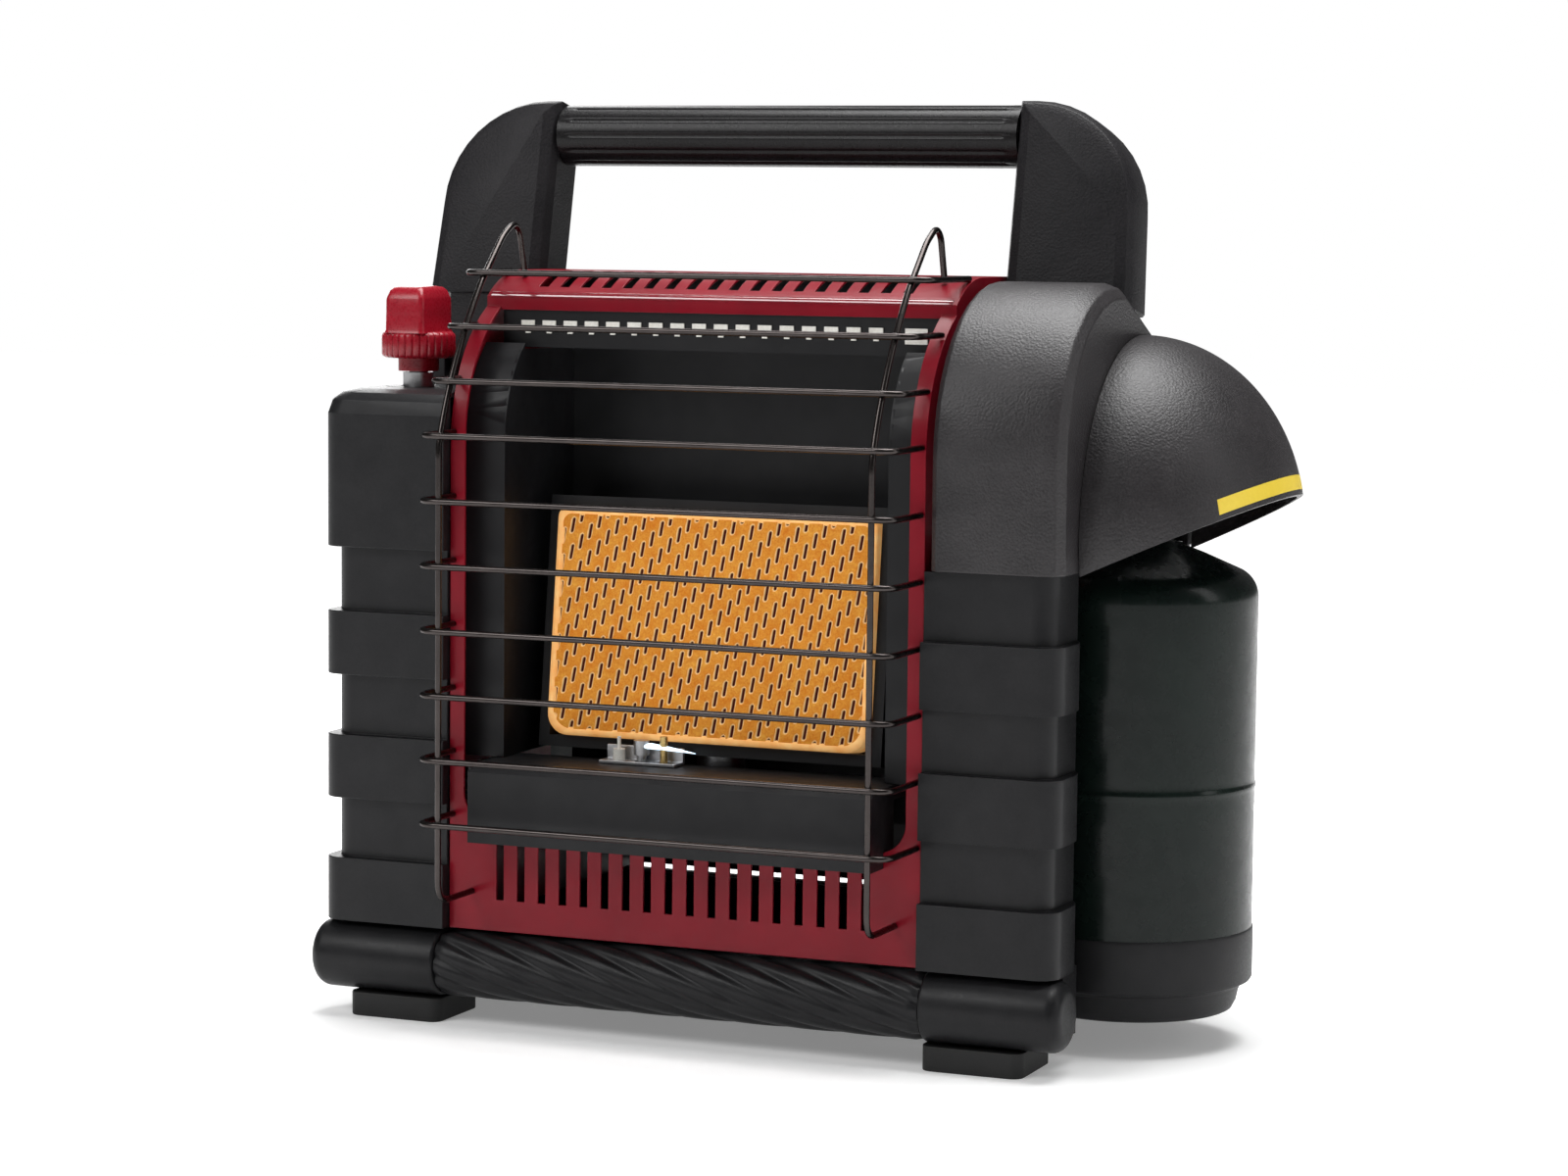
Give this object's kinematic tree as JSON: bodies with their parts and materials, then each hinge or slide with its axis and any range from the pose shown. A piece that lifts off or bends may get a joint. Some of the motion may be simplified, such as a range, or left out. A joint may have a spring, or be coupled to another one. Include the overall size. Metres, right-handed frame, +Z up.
{
  "type": "portable propane heater",
  "caption": "Portable radiant propane heater: ceramic tile behind a wire guard, curved louvred housing, fold-back handle, push-and-turn knob and a swing-out fuel cylinder.",
  "frame": {"origin": "middle of the overall box, on the ground", "axes": "+X to the viewer's right (towards the fuel cylinder), +Y to the back, +Z up; the burner faces -Y"},
  "size_m": [0.3903, 0.2296, 0.381],
  "materials": {
    "black_moulding": "fine satin moulding",
    "rubber_foot": "matt rubber",
    "grained_plastic": "coarse grained moulding",
    "grip_plastic": "satin ribbed moulding",
    "red_enamel": "glossy enamel on sheet steel",
    "black_enamel": "heat-proof satin enamel",
    "ceramic_tile": "porous ceramic, glowing",
    "plated_steel": "zinc plated",
    "brass_part": "machined",
    "white_ceramic": "glazed",
    "wire_insulation": "silicone insulation",
    "pale_plastic": "plain moulding",
    "red_plastic": "polished moulding",
    "guard_chrome": "dark powder coat on steel wire",
    "cast_regulator": "die cast",
    "collar_plastic": "satin moulding",
    "seal_rubber": "matt rubber",
    "green_paint": "gloss paint on steel",
    "ring_plastic": "satin moulding"
  },
  "bodies": {
    "heater": {"base_pan": "black_moulding", "cover_supports": "black_moulding", "front_bumper_bar": "black_moulding", "front_bumper_ends": "black_moulding", "rear_bumper": "black_moulding", "foot_front_left": "rubber_foot", "foot_front_right": "rubber_foot", "foot_rear_left": "rubber_foot", "foot_rear_right": "rubber_foot", "left_side_cover": "black_moulding", "right_side_cover": "black_moulding", "regulator_hood": "grained_plastic", "regulator_dome": "grained_plastic", "front_housing": "red_enamel", "rear_panel": "black_enamel", "burner_box": "black_enamel", "burner_visor": "black_enamel", "burner_tile": "ceramic_tile", "burner_plenum": "black_enamel", "venturi_tube": "plated_steel", "burner_orifice": "brass_part", "pilot_bracket": "plated_steel", "pilot_tube": "plated_steel", "thermocouple": "brass_part", "igniter_electrode": "white_ceramic", "igniter_wire": "wire_insulation", "gas_valve": "brass_part", "valve_bracket": "plated_steel", "burner_feed_pipe": "brass_part", "supply_pipe": "plated_steel", "swivel_elbow": "brass_part", "regulator_bracket": "plated_steel", "piezo_igniter": "pale_plastic", "return_spring": "plated_steel", "valve_bonnet": "brass_part", "knob_bezel": "black_moulding", "tip_switch_housing": "pale_plastic", "guard_front": "guard_chrome", "guard_top": "guard_chrome", "guard_left_side": "guard_chrome", "guard_right_side": "guard_chrome", "guard_feet": "guard_chrome", "handle_pivot_pins": "plated_steel", "rear_panel_screws": "plated_steel", "base_screws": "plated_steel"},
    "handle": {"handle_left_leg": "grained_plastic", "handle_right_leg": "grained_plastic", "handle_grip": "grip_plastic"},
    "push_rod": {"push_plate": "plated_steel"},
    "knob": {"valve_stem": "plated_steel", "control_knob": "red_plastic"},
    "igniter_plunger": {"piezo_plunger": "brass_part"},
    "regulator": {"regulator_body": "cast_regulator", "inlet_collar": "collar_plastic", "inlet_seal": "seal_rubber"},
    "fuel_cylinder": {"cylinder_shell": "green_paint", "cylinder_neck": "plated_steel", "cylinder_base_ring": "ring_plastic", "relief_valve": "brass_part"},
    "tip_pendulum": {"tip_switch_pendulum": "brass_part"}
  },
  "joints": [
    {"name": "handle_fold", "type": "hinge", "parent": "heater", "child": "handle", "pos_m": [-0.03065, 0.0115, 0.278], "axis": [-1, 0, 0], "range_deg": [0, 72]},
    {"name": "knob_push", "type": "slide", "parent": "heater", "child": "push_rod", "axis": [0, 0, -1], "range_m": [0, 0.006], "stiffness_N_per_m": 800, "springref_m": -0.004, "deforming": ["return_spring"]},
    {"name": "knob_turn", "type": "hinge", "parent": "push_rod", "child": "knob", "pos_m": [-0.16865, -0.0435, 0.27], "axis": [0, 0, 1], "range_deg": [0, 200]},
    {"name": "plunger_press", "type": "slide", "parent": "heater", "child": "igniter_plunger", "axis": [0, 0, -1], "range_m": [0, 0.006]},
    {"name": "regulator_swing", "type": "hinge", "parent": "heater", "child": "regulator", "pos_m": [0.12135, 0.0115, 0.236], "axis": [0, -1, 0], "range_deg": [0, 22]},
    {"name": "cylinder_removal", "type": "slide", "parent": "regulator", "child": "fuel_cylinder", "axis": [0, 0, -1], "range_m": [0, 0.013]},
    {"name": "tip_swing", "type": "hinge", "parent": "heater", "child": "tip_pendulum", "pos_m": [-0.16065, 0.0335, 0.1], "axis": [0, 1, 0], "range_deg": [-25, 25]}
  ],
  "couplings": [
    {"joint": "plunger_press", "follows": "knob_push", "ratio": 1}
  ]
}
